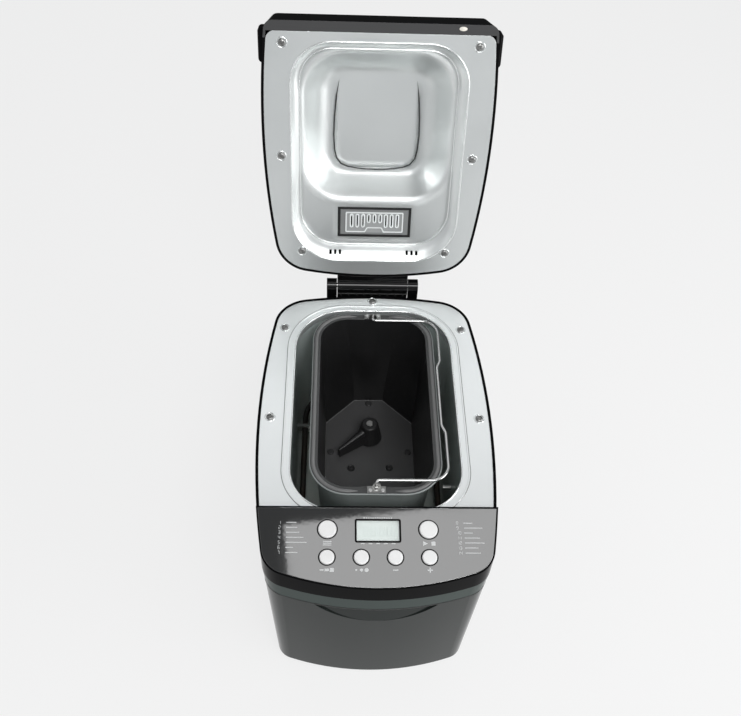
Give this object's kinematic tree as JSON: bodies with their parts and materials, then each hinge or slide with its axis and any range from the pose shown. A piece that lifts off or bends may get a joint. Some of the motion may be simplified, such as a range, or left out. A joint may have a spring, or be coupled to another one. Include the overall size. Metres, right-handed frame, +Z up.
{
  "type": "bread machine",
  "caption": "Countertop bread machine with hinged lid, oven chamber, lift-out pan with bail and kneading paddle, belt drive and sloping button panel.",
  "frame": {"origin": "on the floor, at the feet's bottom faces, under the middle of the whole machine's box with its lid open", "axes": "+Z up, the control panel at the front towards -Y, +X to the right seen from the front"},
  "size_m": [0.2424, 0.4932, 0.5031],
  "materials": {
    "gloss_black": "glossy moulded plastic",
    "body_grey": "glossy dark grey moulded plastic",
    "panel_grey": "semi-gloss dark grey panel",
    "black_plastic": "fine matt moulded plastic",
    "vent_grey": "matt grey moulded plastic",
    "silver_sheet": "satin silver coated steel sheet",
    "chamber_sheet": "grey heat-resistant coated steel",
    "nonstick": "dark grey non-stick coating",
    "steel": "plain rolled or turned steel",
    "bright_steel": "bright plated steel",
    "cast_aluminium": "cast aluminium",
    "bronze": "sintered bronze",
    "rubber": "black rubber",
    "board": "circuit board",
    "ceramic": "white ceramic",
    "display": "clear display window",
    "button_grey": "satin light grey buttons"
  },
  "bodies": {
    "housing": {"lower_housing": "body_grey", "upper_frame": "gloss_black", "control_panel": "panel_grey", "lcd_window": "display", "lcd_module": "black_plastic", "control_board": "board", "tact_switches": "black_plastic", "deck_plate": "silver_sheet", "deck_screws": "bright_steel", "oven_chamber": "chamber_sheet", "heating_element": "steel", "heater_clips": "steel", "heater_bushings": "ceramic", "temperature_sensor": "steel", "thermal_fuse": "ceramic", "pan_seat": "cast_aluminium", "pan_clips": "bright_steel", "chassis_plate": "steel", "chamber_spacers": "steel", "drive_bearing": "bronze", "drive_belt": "rubber", "motor_body": "steel", "capacitor": "black_plastic", "power_board": "board", "transformer": "steel", "base_plate": "black_plastic", "base_screws": "bright_steel", "feet": "rubber", "cord_gland": "rubber", "hinge_bracket": "black_plastic", "hinge_pins": "bright_steel"},
    "drive": {"drive_shaft": "steel", "drive_coupler": "cast_aluminium", "large_pulley": "black_plastic"},
    "motor_rotor": {"motor_shaft": "steel", "small_pulley": "cast_aluminium"},
    "lid": {"lid_shell": "gloss_black", "lid_liner": "silver_sheet", "lid_screws": "bright_steel", "lid_grips": "gloss_black", "hinge_block": "black_plastic", "vent_frame": "black_plastic"},
    "vent_cover": {"vent_cover": "vent_grey"},
    "pan": {"bread_pan": "nonstick", "pan_ring": "cast_aluminium", "pan_rivets": "bright_steel", "pan_ears": "bright_steel", "pan_bearing": "bronze", "shaft_seal": "rubber"},
    "bail": {"bail_handle": "bright_steel"},
    "pan_shaft": {"pan_shaft": "steel", "pan_dog": "steel"},
    "paddle": {"kneading_paddle": "nonstick"},
    "button_program": {"button_program": "button_grey"},
    "button_start": {"button_start": "button_grey"},
    "button_crust": {"button_crust": "button_grey"},
    "button_size": {"button_size": "button_grey"},
    "button_minus": {"button_minus": "button_grey"},
    "button_plus": {"button_plus": "button_grey"}
  },
  "joints": [
    {"name": "lid_hinge", "type": "hinge", "parent": "housing", "child": "lid", "pos_m": [0, 0.12537, 0.2214], "axis": [-1, 0, 0], "range_deg": [-106, 0]},
    {"name": "vent_cover_pull", "type": "slide", "parent": "lid", "child": "vent_cover", "axis": [0, -0.9613, 0.2756], "range_m": [0, 0.03]},
    {"name": "pan_lift", "type": "slide", "parent": "housing", "child": "pan", "axis": [0, 0, 1], "range_m": [0, 0.18]},
    {"name": "bail_swing", "type": "hinge", "parent": "pan", "child": "bail", "pos_m": [0, -0.02998, 0.2184], "axis": [0, -1, 0], "range_deg": [0, 180]},
    {"name": "drive_spin", "type": "hinge", "parent": "housing", "child": "drive", "pos_m": [0, 0.01787, 0.0145], "axis": [0, 0, 1], "continuous": true},
    {"name": "motor_spin", "type": "hinge", "parent": "housing", "child": "motor_rotor", "pos_m": [-0.048, -0.20263, 0.0145], "axis": [0, 0, 1], "continuous": true},
    {"name": "paddle_spin", "type": "hinge", "parent": "pan", "child": "pan_shaft", "pos_m": [0, 0.01787, 0.0692], "axis": [0, 0, 1], "continuous": true},
    {"name": "paddle_lift", "type": "slide", "parent": "pan_shaft", "child": "paddle", "axis": [0, 0, 1], "range_m": [0, 0.03]},
    {"name": "button_program_press", "type": "slide", "parent": "housing", "child": "button_program", "axis": [0, 0.1392, -0.9903], "range_m": [0, 0.0012], "stiffness_N_per_m": 600},
    {"name": "button_start_press", "type": "slide", "parent": "housing", "child": "button_start", "axis": [0, 0.1392, -0.9903], "range_m": [0, 0.0012], "stiffness_N_per_m": 600},
    {"name": "button_crust_press", "type": "slide", "parent": "housing", "child": "button_crust", "axis": [0, 0.1392, -0.9903], "range_m": [0, 0.0012], "stiffness_N_per_m": 600},
    {"name": "button_size_press", "type": "slide", "parent": "housing", "child": "button_size", "axis": [0, 0.1392, -0.9903], "range_m": [0, 0.0012], "stiffness_N_per_m": 600},
    {"name": "button_minus_press", "type": "slide", "parent": "housing", "child": "button_minus", "axis": [0, 0.1392, -0.9903], "range_m": [0, 0.0012], "stiffness_N_per_m": 600},
    {"name": "button_plus_press", "type": "slide", "parent": "housing", "child": "button_plus", "axis": [0, 0.1392, -0.9903], "range_m": [0, 0.0012], "stiffness_N_per_m": 600}
  ],
  "couplings": [
    {"joint": "motor_spin", "follows": "drive_spin", "ratio": 6},
    {"joint": "paddle_spin", "follows": "drive_spin", "ratio": 1}
  ]
}
